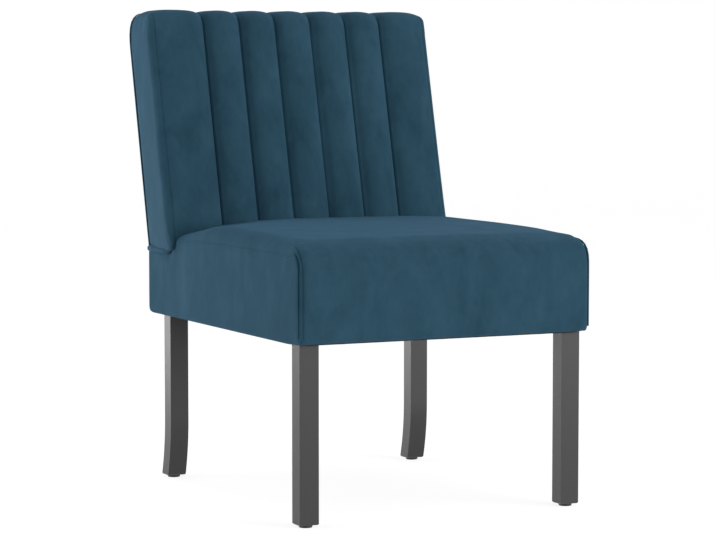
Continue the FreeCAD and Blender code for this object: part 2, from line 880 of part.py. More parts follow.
def back_plan(inset):
    """Drawn-in sides: a plan narrower at the rear, carried up along the rake."""
    front = front_of_back(foot_z)
    rear = rear_of_back(foot_z)
    draw = (size("back_wide") - size("back_narrow")) / 2
    slope = draw / (rear - front - corner)

    def half_at(y):
        return back_half - inset - slope * (y - front - corner)

    low, high = front - 60, rear + 80
    points = [
        Vector(-half_at(low), low, foot_z),
        Vector(half_at(low), low, foot_z),
        Vector(half_at(high), high, foot_z),
        Vector(-half_at(high), high, foot_z),
    ]
    tall = back_high - foot_z + 20
    return Part.Face(Part.makePolygon(points + points[:1])).extrude(Vector(0, lean * tall, tall))


def back_form(inset):
    solid = back_core(inset).fuse(swept_padding(inset)).removeSplitter()
    solid = solid.common(back_plan(inset))
    return solid.common(block((-far, -far, back_foot), (far, far, far)))


back_outer = back_form(0)
back_inner = back_form(cloth)
bay = [
    (depth_y(-10, foot_z), foot_z, 0),
    (depth_y(board_front, foot_z), foot_z, 0),
    (depth_y(board_front, post_high), post_high, 0),
    (depth_y(-10, post_high), post_high, 0),
]
shaped("back_foam", back_inner.cut(plate(bay, -frame_side, frame_side)))

back_cover = back_outer.cut(back_inner)
boxing_seam = 9
rear_tangent = back_path[3].valueAt(back_path[3].LastParameter)
rear_skin = [
    (depth_y(-10, foot_z), foot_z, 0),
    (depth_y(cloth, foot_z), foot_z, 0),
    (depth_y(cloth, rear_tangent.z), rear_tangent.z, 0),
    (depth_y(-10, rear_tangent.z), rear_tangent.z, 0),
]
rear_space = plate(rear_skin, -far, far)
boxing_high = back_high - boxing_seam
boxing_front = back_deep - boxing_seam
boxing = [
    (depth_y(boxing_front, foot_z), foot_z, 0),
    (depth_y(boxing_front, boxing_high), boxing_high, size("top_front_roll") - boxing_seam),
    (depth_y(cloth, boxing_high), boxing_high, size("top_rear_roll") - boxing_seam),
    (depth_y(cloth, foot_z), foot_z, 0),
]
boxing_spaces = {}
for side, sign in sides.items():
    reach = sorted((sign * (back_half - 25), sign * far))
    boxing_spaces[side] = plate(boxing, *reach)
    shaped("back_%s_boxing" % side, back_cover.common(boxing_spaces[side]))
shaped("back_outer_panel", back_cover.common(rear_space))
channel_panel = back_cover.cut(rear_space)
for space in boxing_spaces.values():
    channel_panel = channel_panel.cut(space)
shaped("back_channel_panel", channel_panel)

piping_depth = 4
piping_rise = 4
draw_per_depth = (size("back_wide") - size("back_narrow")) / 2 / (back_deep - corner)
piping_x = size("back_narrow") / 2 + draw_per_depth * piping_depth + welt_radius + 0.2
lean_axis = lean_turn.multVec(up)
piping_long = (rear_tangent - leaned(0, 0, piping_rise)).Length
for side, sign in sides.items():
    label = "back_%s_piping" % side
    start = leaned(sign * piping_x, piping_depth, piping_rise)
    keep(loose_rod(label, start, lean_axis, "Sizes.welt_thick / 2", "%g" % piping_long), label)

# Dust cover and its staples

dust_thick = 1.0
dust_inset = 14
leg_play = 1.0
dust_low = seat_low - dust_thick
dust_corner = (-seat_wide / 2 + dust_inset, seat_front + dust_inset, dust_low)
dust_blank = loose_box(
    "dust_cover_blank",
    dust_corner,
    "Sizes.seat_wide - %g" % (2 * dust_inset),
    "Sizes.seat_rear - Sizes.seat_front - %g" % (2 * dust_inset),
    "%g" % dust_thick,
)
leg_ways = [
    loose_box(
        "dust_cover_leg_way",
        (top.x - leg_wide / 2 - leg_play, top.y - leg_deep / 2 - leg_play, dust_low - 5),
        "Sizes.leg_wide + %g" % (2 * leg_play),
        "Sizes.leg_deep + %g" % (2 * leg_play),
        "20",
    )
    for top in leg_tops
]
drilled("dust_cover", dust_blank, leg_ways)
staple_long, staple_wide, staple_tall = 10, 1, 0.6
staples = []
for step in range(-3, 4):
    x = step * 56
    for y in (seat_front + dust_inset + 4, seat_rear - dust_inset - 5):
        corner_spot = (x - staple_long / 2, y, dust_low - staple_tall)
        staples.append(
            loose_box("staple", corner_spot, "%g" % staple_long, "%g" % staple_wide, "%g" % staple_tall)
        )
for step in range(-3, 4):
    y = (seat_front + seat_rear) / 2 + step * 60
    for sign in sides.values():
        x = sign * (seat_wide / 2 - dust_inset - 4)
        corner_spot = (x - staple_wide / 2, y - staple_long / 2, dust_low - staple_tall)
        staples.append(
            loose_box("staple", corner_spot, "%g" % staple_wide, "%g" % staple_long, "%g" % staple_tall)
        )
keep(group("dust_cover_staples", staples), "dust_cover_staples")

# Check every object, then write one file for each sub-part

document.recompute()
for item in document.Objects:
    if "Invalid" in item.State or "Error" in item.State:
        raise RuntimeError("%s: %s" % (item.Label, item.State))
os.makedirs("parts", exist_ok=True)
for item in nodes:
    shape = item.Shape
    if shape.isNull() or not shape.isValid() or not shape.Solids:
        raise RuntimeError("%s has no sound solid" % item.Label)
for item in nodes:
    item.Shape.exportStep("parts/%s.step" % item.Label)
    print(item.Label, len(item.Shape.Solids), round(item.Shape.Volume / 1000, 2), "cubic centimetres")
whole = Part.makeCompound([item.Shape for item in nodes]).optimalBoundingBox()
print("whole", round(whole.XLength, 1), round(whole.YLength, 1), round(whole.ZLength, 1))
print("from", round(whole.XMin, 1), round(whole.YMin, 1), round(whole.ZMin, 1))
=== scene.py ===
# %% [markdown]
# This lesson dresses a slipper chair: a boxed seat with a waterfall front, a back that leans and is
# sewn into seven channels, teal velvet over foam, and four slim black legs.
# The legs, the timber, the webbing and the fixings are already measured solids, so they only get
# their finishes here. What is soft is made again, because a chair's softness is in small bulges,
# creases and cords that a plain solid does not have.

# %% Load the measured chair
import math

import bmesh
import bpy
from mathutils import Matrix, Vector


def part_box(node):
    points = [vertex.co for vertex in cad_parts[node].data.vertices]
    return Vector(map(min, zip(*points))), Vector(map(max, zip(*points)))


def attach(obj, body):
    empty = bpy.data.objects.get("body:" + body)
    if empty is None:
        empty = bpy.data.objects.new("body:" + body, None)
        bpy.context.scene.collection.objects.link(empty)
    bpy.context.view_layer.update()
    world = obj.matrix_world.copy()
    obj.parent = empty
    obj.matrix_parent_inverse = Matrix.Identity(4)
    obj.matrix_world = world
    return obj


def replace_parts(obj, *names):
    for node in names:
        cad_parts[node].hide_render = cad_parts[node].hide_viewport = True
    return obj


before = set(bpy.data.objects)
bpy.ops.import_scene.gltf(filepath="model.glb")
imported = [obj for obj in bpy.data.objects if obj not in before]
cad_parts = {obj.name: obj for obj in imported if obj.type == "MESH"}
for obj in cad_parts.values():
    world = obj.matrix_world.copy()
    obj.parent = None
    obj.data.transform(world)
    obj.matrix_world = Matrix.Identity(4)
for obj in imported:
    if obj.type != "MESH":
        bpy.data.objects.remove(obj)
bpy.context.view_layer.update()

mm = 0.001


# %% [markdown]
# The camera stands a little above the seat and to the chair's left, and looks slightly down. A long
# lens keeps the chair's upright lines nearly parallel, as a catalogue picture does. Its place was
# worked out from the legs and the seat box, so the chair falls where it falls in the photograph.

# %% Camera
camera_place = Vector((-1.78003, -3.73424, 0.67565))
camera_turn = math.radians(25.688)
camera_dip = math.radians(4.515)
camera = bpy.data.objects.new("camera", bpy.data.cameras.new("camera"))
camera.data.sensor_width = 36
camera.data.lens = 130.135
camera.location = camera_place
camera.rotation_euler = (math.pi / 2 - camera_dip, 0, -camera_turn)
bpy.context.scene.collection.objects.link(camera)
bpy.context.scene.camera = camera
bpy.context.scene.view_settings.view_transform = "Standard"
print("camera", tuple(round(place, 3) for place in camera_place))


# %% [markdown]
# Every material and the world are networks of nodes. One small function adds a node, sets it and
# wires it, and another turns a written colour into the light values that Blender works in.

# %% Helpers for nodes and colours
def linear(code):
    """The linear colour for an sRGB hex code such as 2F4F5F."""
    shares = [int(code[place:place + 2], 16) / 255 for place in (0, 2, 4)]
    light = [
        share / 12.92 if share < 0.04045 else ((share + 0.055) / 1.055) ** 2.4
        for share in shares
    ]
    return light + [1]


def add(tree, kind, settings=None, values=None, links=None):
    """Add one node: its own settings, the values of its sockets and the wires that feed it."""
    made = tree.nodes.new(kind)
    for name, value in (settings or {}).items():
        setattr(made, name, value)
    for name, value in (values or {}).items():
        made.inputs[name].default_value = value
    for name, source in (links or {}).items():
        tree.links.new(source, made.inputs[name])
    return made


print("velvet blue in light values:", [round(share, 3) for share in linear("2F4F5F")])


# %% [markdown]
# The room is a white sweep with soft light from everywhere and two large soft lamps: one in front,
# well to the right, and one at the left and a little behind, which lights the sides but not the
# channels. A small low lamp behind the chair gives the light that the rear legs catch on their left
# faces. The sweep and the sky are shown white to the camera and to reflections, while the light
# that falls on the chair stays at a plain level.

# %% Room and lamps
sky_level = 0.5
lamp_width = 2.6
lamp_height = 1.8
seat_middle_place = (0, 0, 0.42)
sweep_half = 9
wall_height = 6
wall_bend = 2.5
paper_colour = (0.88, 0.88, 0.88, 1)
lifted_colour = (0.3, 0.3, 0.3, 1)
paper_glow = 0.84


def seen_ray(tree):
    """1 for rays from the camera, a mirror or a glass, otherwise 0."""
    path = add(tree, "ShaderNodeLightPath")
    seen = path.outputs["Is Camera Ray"]
    for name in ("Is Glossy Ray", "Is Transmission Ray"):
        either = add(
            tree, "ShaderNodeMath", {"operation": "MAXIMUM"}, links={0: seen, 1: path.outputs[name]}
        )
        seen = either.outputs[0]
    return seen


world = bpy.data.worlds.new("pale_room")
world.use_nodes = True
bpy.context.scene.world = world
sky = world.node_tree
sky_strength = add(
    sky, "ShaderNodeMath", {"operation": "MULTIPLY_ADD"},
    {1: 1 - sky_level, 2: sky_level}, {0: seen_ray(sky)}
)
sky.links.new(sky_strength.outputs[0], sky.nodes["Background"].inputs["Strength"])
sky.nodes["Background"].inputs["Color"].default_value = (1, 1, 1, 1)


def soft_lamp(name, place, target, width, height, watts):
    """A lamp with a flat face turned towards the target, unseen by the camera."""
    lamp = bpy.data.lights.new(name, "AREA")
    lamp.shape = "RECTANGLE"
    lamp.size = width
    lamp.size_y = height
    lamp.energy = watts
    holder = bpy.data.objects.new(name, lamp)
    holder.location = place
    holder.rotation_euler = (Vector(target) - Vector(place)).to_track_quat("-Z", "Y").to_euler()
    holder.visible_camera = False
    bpy.context.scene.collection.objects.link(holder)


soft_lamp("front_lamp", (2.45, -3.35, 1.2), seat_middle_place, lamp_width, lamp_height, watts=96)
soft_lamp("left_rear_lamp", (-3.95, 1.4, 1.05), seat_middle_place, lamp_width, lamp_height, watts=60)
soft_lamp("low_rear_lamp", (-0.47, 1.45, 0.3), (-0.25, 0, 0.2), width=0.52, height=0.7, watts=6)

sweep = bmesh.new()
bmesh.ops.create_grid(sweep, x_segments=1, y_segments=1, size=sweep_half)
far_edge = [edge for edge in sweep.edges if all(vert.co.y > 0 for vert in edge.verts)]
wall = bmesh.ops.extrude_edge_only(sweep, edges=far_edge)
wall_top = [part for part in wall["geom"] if isinstance(part, bmesh.types.BMVert)]
bmesh.ops.translate(sweep, verts=wall_top, vec=(0, 0, wall_height))
bmesh.ops.bevel(
    sweep, geom=far_edge, offset=wall_bend, segments=12, profile=0.5, affect="EDGES", material=-1
)
sweep_mesh = bpy.data.meshes.new("paper_sweep")
sweep.to_mesh(sweep_mesh)
sweep.free()
sweep_mesh.shade_smooth()
paper_sweep = bpy.data.objects.new("paper_sweep", sweep_mesh)
bpy.context.scene.collection.objects.link(paper_sweep)
paper = bpy.data.materials.new("white_paper_sweep")
paper.use_nodes = True
tree = paper.node_tree
tree.nodes.clear()
shaded = add(tree, "ShaderNodeBsdfDiffuse", values={"Color": paper_colour})
lifted = add(tree, "ShaderNodeBsdfDiffuse", values={"Color": lifted_colour})
glow = add(tree, "ShaderNodeEmission", values={"Strength": paper_glow})
white = add(tree, "ShaderNodeAddShader", links={0: lifted.outputs[0], 1: glow.outputs[0]})
chosen = add(
    tree, "ShaderNodeMixShader", links={0: seen_ray(tree), 1: shaded.outputs[0], 2: white.outputs[0]}
)
add(tree, "ShaderNodeOutputMaterial", links={"Surface": chosen.outputs[0]})
sweep_mesh.materials.append(paper)
print("lamps:", [lamp.name for lamp in bpy.data.lights])


# %% [markdown]
# The velvet is woven polyester with a short dense pile. Seen straight on, the eye looks down into
# the pile and the cloth is dark; seen at a slant, the sides of the hairs catch the light and it
# turns pale. The sheen of the Principled shader does that by itself. The pile also lies a little
# differently from place to place, which shows as soft blotches about 40 mm across, and close up
# its tufts show as a fine grain.

# %% Velvet
blotch = 42 * mm
nap = 9 * mm
nap_share = 0.3
tuft = 1.1 * mm
tuft_share = 0.35


def principled(material):
    """The shader of a new material and its network."""
    material.use_nodes = True
    network = material.node_tree
    return network, network.nodes["Principled BSDF"]


def make_velvet(name, dark, light, crease):
    """Short-pile velvet; where the attribute 'seam' is 1 its colour is painted darker, as shade in a
    crease.
    """
    material = bpy.data.materials.new(name)
    tree, shader = principled(material)
    place = add(tree, "ShaderNodeTexCoord").outputs["Object"]
    brushed = add(
        tree, "ShaderNodeMapping", values={"Scale": (1, 1, 0.55)}, links={"Vector": place}
    ).outputs[0]
    patches = add(
        tree, "ShaderNodeTexNoise",
        values={"Scale": 1 / blotch, "Detail": 3, "Roughness": 0.55, "Distortion": 0.4},
        links={"Vector": brushed}
    )
    strokes = add(
        tree, "ShaderNodeTexNoise", values={"Scale": 1 / nap, "Detail": 2, "Roughness": 0.5},
        links={"Vector": brushed}
    )
    grain = add(
        tree, "ShaderNodeTexNoise", values={"Scale": 1 / tuft, "Detail": 1.5, "Roughness": 0.6},
        links={"Vector": place}
    )
    part = add(
        tree, "ShaderNodeMath", {"operation": "MULTIPLY_ADD"}, {1: nap_share},
        {0: strokes.outputs[0], 2: patches.outputs[0]}
    )
    lay = add(
        tree, "ShaderNodeMath", {"operation": "MULTIPLY_ADD"}, {1: tuft_share},
        {0: grain.outputs[0], 2: part.outputs[0]}
    )
    ramp = add(
        tree, "ShaderNodeMapRange", values={"From Min": 0.55, "From Max": 1.1},
        links={"Value": lay.outputs[0]}
    )
    pile = add(
        tree, "ShaderNodeMix", {"data_type": "RGBA"}, {6: linear(dark), 7: linear(light)},
        {0: ramp.outputs[0]}
    )
    # Painted shade: the 'seam' mark mixes the pile colour towards a dark crease colour, standing in for
    # the shade that falls in a sewn crease.
    seam = add(tree, "ShaderNodeAttribute", {"attribute_name": "seam"})
    crease_shade = add(
        tree, "ShaderNodeMix", {"data_type": "RGBA"}, {7: linear(crease)},
        {0: seam.outputs["Fac"], 6: pile.outputs[2]}
    )
    bump = add(
        tree, "ShaderNodeBump", values={"Strength": 0.35, "Distance": 0.4 * mm},
        links={"Height": lay.outputs[0]}
    )
    tree.links.new(crease_shade.outputs[2], shader.inputs["Base Color"])
    tree.links.new(bump.outputs[0], shader.inputs["Normal"])
    shader.inputs["Roughness"].default_value = 0.85
    shader.inputs["Specular IOR Level"].default_value = 0.02
    shader.inputs["Sheen Weight"].default_value = 0.55
    shader.inputs["Sheen Roughness"].default_value = 0.7
    shader.inputs["Sheen Tint"].default_value = linear("557894")
    return material


# 0E2936 is the painted shade colour of the sewn creases.
velvet = make_velvet("teal_polyester_velvet", "213E4C", "2F4F5F", "0E2936")
print("made", velvet.name)


# %% [markdown]
# The legs are beech sprayed with a black satin lacquer: a thin hard film that hides the colour of
# the wood but follows its grain, so the grain is only a faint ripple along the leg. The lacquer
# reflects the white room softly, which is why the legs read as dark grey.

# %% Satin black lacquer
grain_width = 1.6 * mm


def make_lacquer(name, low, high):
    """A thin hard film between two dark colours, rippled along the grain of the wood under it."""
    material = bpy.data.materials.new(name)
    tree, shader = principled(material)
    place = add(tree, "ShaderNodeTexCoord").outputs["Object"]
    along = add(
        tree, "ShaderNodeMapping", values={"Scale": (1, 1, 0.06)}, links={"Vector": place}
    ).outputs[0]
    grain = add(
        tree, "ShaderNodeTexNoise", values={"Scale": 1 / grain_width, "Detail": 3, "Distortion": 0.6},
        links={"Vector": along}
    )
    colour = add(
        tree, "ShaderNodeMix", {"data_type": "RGBA"}, {6: linear(low), 7: linear(high)},
        {0: grain.outputs[0]}
    )
    gloss = add(
        tree, "ShaderNodeMapRange", values={"To Min": 0.36, "To Max": 0.48},
        links={"Value": grain.outputs[0]}
    )
    bump = add(
        tree, "ShaderNodeBump", values={"Strength": 0.25, "Distance": 0.15 * mm},
        links={"Height": grain.outputs[0]}
    )
    tree.links.new(colour.outputs[2], shader.inputs["Base Color"])
    tree.links.new(gloss.outputs[0], shader.inputs["Roughness"])
    tree.links.new(bump.outputs[0], shader.inputs["Normal"])
    shader.inputs["IOR"].default_value = 1.5
    return material


lacquer = make_lacquer("satin_black_lacquer_on_beech", "222222", "2A2A2A")
print("made", lacquer.name)


# %% [markdown]
# Under the velvet there are plain workshop materials. Softwood rails show growth rings as long
# streaks, nylon is moulded with a fine even grain, the fixings are steel with a thin zinc coat, the
# webbing is woven in bands, and the underside is closed with a thin cloth of pressed fibres. One
# function makes them: a pattern of a real size mixes two close colours and lifts the surface.

# %% Workshop materials
bands_at_scale_one = 3.1416


def make_plain(name, low, high, size, rough, lift, stretch=(1, 1, 1), metal=0.0):
    """Two close colours mixed by a noise of a real size, stretched along the grain."""
    material = bpy.data.materials.new(name)
    tree, shader = principled(material)
    place = add(tree, "ShaderNodeTexCoord").outputs["Object"]
    drawn = add(tree, "ShaderNodeMapping", values={"Scale": stretch}, links={"Vector": place}).outputs[0]
    pattern = add(
        tree, "ShaderNodeTexNoise", values={"Scale": 1 / size, "Detail": 4, "Distortion": 0.5},
        links={"Vector": drawn}
    ).outputs[0]
    colour = add(
        tree, "ShaderNodeMix", {"data_type": "RGBA"}, {6: linear(low), 7: linear(high)}, {0: pattern}
    )
    gloss = add(
        tree, "ShaderNodeMapRange", values={"To Min": rough[0], "To Max": rough[1]},
        links={"Value": pattern}
    )
    bump = add(
        tree, "ShaderNodeBump", values={"Strength": 0.4, "Distance": lift}, links={"Height": pattern}
    )
    tree.links.new(colour.outputs[2], shader.inputs["Base Color"])
    tree.links.new(gloss.outputs[0], shader.inputs["Roughness"])
    tree.links.new(bump.outputs[0], shader.inputs["Normal"])
    shader.inputs["Metallic"].default_value = metal
    return material


def make_woven(name, low, high, pitch, lift):
    """Crossing threads: two sets of bands at a real spacing, over and under each other."""
    material = bpy.data.materials.new(name)
    tree, shader = principled(material)
    place = add(tree, "ShaderNodeTexCoord").outputs["Object"]
    bands = []
    for direction in ("X", "Y"):
        wave = add(
            tree, "ShaderNodeTexWave", {"bands_direction": direction},
            {"Scale": 1 / pitch / bands_at_scale_one, "Distortion": 0.3, "Detail": 1}, {"Vector": place}
        )
        bands.append(wave.outputs["Fac"])
    weave = add(tree, "ShaderNodeMath", {"operation": "MULTIPLY"}, links={0: bands[0], 1: bands[1]})
    colour = add(
        tree, "ShaderNodeMix", {"data_type": "RGBA"}, {6: linear(low), 7: linear(high)},
        {0: weave.outputs[0]}
    )
    bump = add(
        tree, "ShaderNodeBump", values={"Strength": 0.6, "Distance": lift},
        links={"Height": weave.outputs[0]}
    )
    tree.links.new(colour.outputs[2], shader.inputs["Base Color"])
    tree.links.new(bump.outputs[0], shader.inputs["Normal"])
    shader.inputs["Roughness"].default_value = 0.85
    return material


softwood = make_plain(
    "planed_softwood", "C29A66", "DDBB88", size=7 * mm, stretch=(1, 1, 0.12), rough=(0.55, 0.7),
    lift=0.2 * mm
)
nylon = make_plain(
    "moulded_black_nylon", "17181A", "222326", size=1.2 * mm, rough=(0.45, 0.6), lift=0.05 * mm
)
zinc = make_plain(
    "zinc_plated_steel", "9A9CA0", "C3C5C8", size=2.5 * mm, rough=(0.3, 0.5), lift=0.03 * mm, metal=1.0
)
spunbond = make_plain(
    "black_spunbond_cloth", "1B1C1E", "2C2D30", size=1.8 * mm, stretch=(1, 0.4, 1),
    rough=(0.85, 0.95), lift=0.15 * mm
)
jute = make_woven("woven_jute_webbing", "7E6543", "B79A6C", pitch=2.2 * mm, lift=0.4 * mm)
print("made", [made.name for made in (softwood, nylon, zinc, spunbond, jute)])


# %% [markdown]
# The hard parts keep their measured shapes. Each one is given its finish by what its name says.

# %% Dress the hard parts
finishes = {
    "leg": lacquer, "glide": nylon, "rail": softwood, "post": softwood, "block": softwood,
    "dowels": softwood, "board": softwood, "bolts": zinc, "inserts": zinc, "screws": zinc,
    "staples": zinc, "lengthwise": jute, "crosswise": jute, "seat_deck_cloth": jute,
    "dust_cover": spunbond,
}


def dress(node_name):
    """Give a measured part the finish that the end of its name calls for."""
    for ending, finish in finishes.items():
        if node_name.endswith(ending):
            for material_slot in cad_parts[node_name].material_slots:
                material_slot.material = finish
            return True
    return False


dressed = [name for name in sorted(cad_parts) if dress(name)]
print("dressed", len(dressed), "of", len(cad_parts), "measured parts")


# %% [markdown]
# The soft parts share a few steps. A side outline with its own radius at each corner is carried
# across the chair and rolled over at both sides. It could be a cube with bevels, but bevels of
# different widths meet badly in a corner, while a roll can have any size at any place. The body is
# remeshed into even quads, and the foam's push on the cloth is simulated: the cloth is held where
# it is sewn or stapled, pressed from inside, and each point may only travel a few millimetres.

# %% Helpers for soft parts
press_steps = 20


def new_piece(name, mesh, finish):
    """Make an object from a bmesh and give it a finish."""
    data = bpy.data.meshes.new(name)
    mesh.to_mesh(data)
    mesh.free()
    data.shade_smooth()
    piece = bpy.data.objects.new(name, data)
    bpy.context.scene.collection.objects.link(piece)
    data.materials.append(finish)
    return piece


def settle(piece):
    """Turn a piece's modifiers into plain mesh."""
    bpy.context.view_layer.update()
    graph = bpy.context.evaluated_depsgraph_get()
    settled = bpy.data.meshes.new_from_object(piece.evaluated_get(graph))
    piece.modifiers.clear()
    old = piece.data
    piece.data = settled
    settled.name = piece.name
    bpy.data.meshes.remove(old)
    settled.shade_smooth()


def voxel(piece, size):
    """Remesh a piece into even quads."""
    remesh = piece.modifiers.new("even_quads", "REMESH")
    remesh.mode = "VOXEL"
    remesh.voxel_size = size
    settle(piece)


def inflate(piece, is_pinned, pressure, reach):
    """Press the cloth out from inside, with its sewn points held, by no more than the reach."""
    rest = [vert.co.copy() for vert in piece.data.vertices]
    held = [vert.index for vert in piece.data.vertices if is_pinned(vert.co, vert.normal)]
    piece.vertex_groups.new(name="sewn").add(held, 1.0, "REPLACE")
    cloth = piece.modifiers.new("cloth", "CLOTH")
    cloth.settings.vertex_group_mass = "sewn"
    cloth.settings.use_pressure = True
    cloth.settings.uniform_pressure_force = pressure
    cloth.settings.effector_weights.gravity = 0
    for step in range(1, press_steps + 1):
        bpy.context.scene.frame_set(step)
    graph = bpy.context.evaluated_depsgraph_get()
    pressed = [vert.co.copy() for vert in piece.evaluated_get(graph).data.vertices]
    piece.modifiers.remove(cloth)
    piece.vertex_groups.clear()
    bpy.context.scene.frame_set(1)
    farthest = 0
    for vert, before, after in zip(piece.data.vertices, rest, pressed):
        move = after - before
        travel = reach * math.tanh(move.length / reach)
        farthest = max(farthest, travel)
        if move.length > 0:
            vert.co = before + move * (travel / move.length)
    print(piece.name, "held", len(held), "of", len(rest), "farthest move", round(farthest / mm, 1), "mm")


def refine(piece):
    """One subdivision, settled into the mesh."""
    smooth = piece.modifiers.new("refine", "SUBSURF")
    smooth.levels = 1
    smooth.render_levels = 1
    settle(piece)


def step_between(low, high, value):
    """0 below low, 1 above high and a smooth slope between."""
    share = min(1, max(0, (value - low) / (high - low)))
    return share * share * (3 - 2 * share)


# %% Helpers for rolled bodies
corner_steps = 8
blend = 4


def side_outline(corners):
    """A closed side outline from (y, z, radius) corners: its points and the outward way at each."""
    outline = []
    for index, (y, z, radius) in enumerate(corners):
        here = Vector((0, y, z))
        before = Vector((0, *corners[index - 1][:2]))
        after = Vector((0, *corners[(index + 1) % len(corners)][:2]))
        back_way = (before - here).normalized()
        on_way = (after - here).normalized()
        half_angle = back_way.angle(on_way) / 2
        centre = here + (back_way + on_way).normalized() * radius / math.sin(half_angle)
        first = here + back_way * radius / math.tan(half_angle) - centre
        last = here + on_way * radius / math.tan(half_angle) - centre
        outwards = 1 if back_way.cross(on_way).x > 0 else -1
        for step in range(corner_steps + 1):
            spoke = first.slerp(last, step / corner_steps).normalized()
            outline.append((centre + spoke * radius, spoke * outwards))
    return outline


def rolled_point(place, outward, side, half, size, angle):
    """A place on the roll: on the outline at an angle of 0, on the flat side at a right angle."""
    sink = size * (1 - math.cos(angle))
    return Vector((side * (half - size * (1 - math.sin(angle))), *(place - outward * sink).yz))


def rolled_body(outline, half, roll_size):
    """Carry a side outline across the chair and roll it over to flat sides."""
    mesh = bmesh.new()
    angles = [math.pi / 2 * step / corner_steps for step in range(corner_steps + 1)]
    loops = []
    for side, angle in [(-1, angle) for angle in reversed(angles)] + [(1, angle) for angle in angles]:
        places = [
            rolled_point(place, outward, side, half, roll_size(place, outward), angle)
            for place, outward in outline
        ]
        loops.append([mesh.verts.new(place) for place in places])
    for first, second in zip(loops, loops[1:]):
        for index in range(len(outline)):
            mesh.faces.new((first[index - 1], first[index], second[index], second[index - 1]))
    mesh.faces.new(loops[0])
    mesh.faces.new(loops[-1])
    bmesh.ops.recalc_face_normals(mesh, faces=mesh.faces)
    return mesh


print("helpers ready")

# %% [markdown]
# The seat is a box of foam in a velvet cover. Its front edge is a wide waterfall roll, its top
# swells a little behind it, and its side edges roll over to flat side panels. The roll is wide
# along the top, narrow down the front corners and small round the bottom, so its size follows the
# way that the outline faces.

# %% Seat sizes
covers = ["seat_waterfall_cover", "seat_rear_cover", "seat_left_panel", "seat_right_panel"]
cover_boxes = [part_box(name) for name in covers]
seat_low = Vector([min(box[0][axis] for box in cover_boxes) for axis in range(3)])
seat_high = Vector([max(box[1][axis] for box in cover_boxes) for axis in range(3)])
stuffing = 3.1 * mm
seat_half = seat_high.x + stuffing
crown = 0.5 * mm
swell = 5.5 * mm
overfill = 0.7 * mm
seat_top = seat_high.z - crown - swell + overfill
seat_crest = -60 * mm
back_seam = 380 * mm
rake = math.radians(13.9)
lean = math.tan(rake)
rake_start = 384 * mm
back_deep = 130 * mm / math.cos(rake)


def rear_of_back(z):
    """How far to the rear the outer panel lies at a height."""
    return seat_high.y + lean * (z - rake_start)


def front_of_back(z):
    """How far to the rear the front of the back lies at a height."""
    return rear_of_back(z) - back_deep


print("seat", [round(size, 4) for size in seat_high - seat_low], "top", round(seat_top, 4))

# %% Seat blank
waterfall = 46 * mm
top_roll = 21.5 * mm
front_turn = 10 * mm
rear_turn = 2.5 * mm
hem_roll = 3 * mm
hem_corner = 11 * mm
rear_hem_corner = 10 * mm
under_back = 30 * mm
seat_rear_top = front_of_back(seat_top) + under_back
seat_corners = [
    (seat_low.y, seat_low.z, hem_corner),
    (seat_low.y, seat_top, waterfall),
    (seat_rear_top, seat_top, rear_turn),
    (front_of_back(back_seam) + under_back, back_seam, rear_turn),
    (seat_high.y, back_seam, rear_turn),
    (seat_high.y, seat_low.z, rear_hem_corner),
]
seat_outline = side_outline(seat_corners)


def seat_roll(place, outward):
    """How large the roll over the side edge is at a place on the side outline."""
    if outward.z < 0:
        upright_share = hem_roll
    elif place.y < seat_rear_top:
        upright_share = top_roll
    else:
        upright_share = rear_turn
    level_share = front_turn if outward.y < 0 else rear_turn
    return upright_share * outward.z ** blend + level_share * outward.y ** blend


seat_cushion = new_piece("seat_cushion", rolled_body(seat_outline, seat_half, seat_roll), velvet)
voxel(seat_cushion, size=6.4 * mm)
print("seat blank", len(seat_cushion.data.vertices), "points")

# %% [markdown]
# Then the top swells from the front to its middle, and its rear corners are tucked down where the
# back stands on them, the left one far more than the right. Low points move less than high ones. The
# cloth is pressed out between its seams, and the rear of the seat, under the back, is held as it
# is. The side panels are stapled a little lower than the front, so their hems are drawn down last.

# %% Crown and press the seat
shoulder = seat_half - top_roll
crown_full_at = 0.25
tuck = {-1: 21 * mm, 1: 5 * mm}
tuck_inner = {-1: 40 * mm, 1: 150 * mm}
tuck_outer = 235 * mm
tuck_most = 1.1
tuck_start = {-1: 0, 1: 85 * mm}
tuck_end = 145 * mm
height_power = 1.8
held_band = 8 * mm
side_band = 1.2 * mm
seam_band = 4 * mm
hem_drop = 4.5 * mm
hem_sides = (7 * mm, 3 * mm)
hem_height = 40 * mm
hem_front = 60 * mm
hem_front_share = 0.5


def shape_seat(place):
    """Move a point of the flat-topped seat to where the swell, the crown and the tucks put it."""
    if place.y > front_of_back(place.z) + under_back + mm or place.z < seat_low.z:
        return place
    side = -1 if place.x < 0 else 1
    from_front = (place.y - seat_low.y) / (seat_crest - seat_low.y)
    along = swell * math.sin(min(1, from_front) * math.pi / 2)
    across = crown * max(0, 1 - (place.x / shoulder) ** 2) * step_between(0, crown_full_at, from_front)
    outwards = max(0, (abs(place.x) - tuck_inner[side]) / (tuck_outer - tuck_inner[side]))
    behind = step_between(tuck_start[side], tuck_end, place.y)
    corner = tuck[side] * min(tuck_most, outwards ** 2) * behind
    height = min(1, max(0, (place.z - back_seam) / (seat_top - back_seam)))
    return place + Vector((0, 0, (along + across - corner) * height ** height_power))


for vert in seat_cushion.data.vertices:
    vert.co = shape_seat(vert.co)


def seat_sewn(place, normal):
    """Points that are sewn, stapled or covered by the back."""
    covered = place.y > front_of_back(place.z) - held_band
    underneath = place.z < seat_low.z + held_band
    on_side = abs(place.x) > seat_half - side_band
    rim = shape_seat(Vector((place.x, place.y, seat_top - top_roll))).z
    along_side_seam = on_side and abs(place.z - rim) < seam_band
    round_front_seam = abs(place.x) > seat_half - top_roll and place.y < seat_low.y + waterfall
    return covered or underneath or along_side_seam or round_front_seam


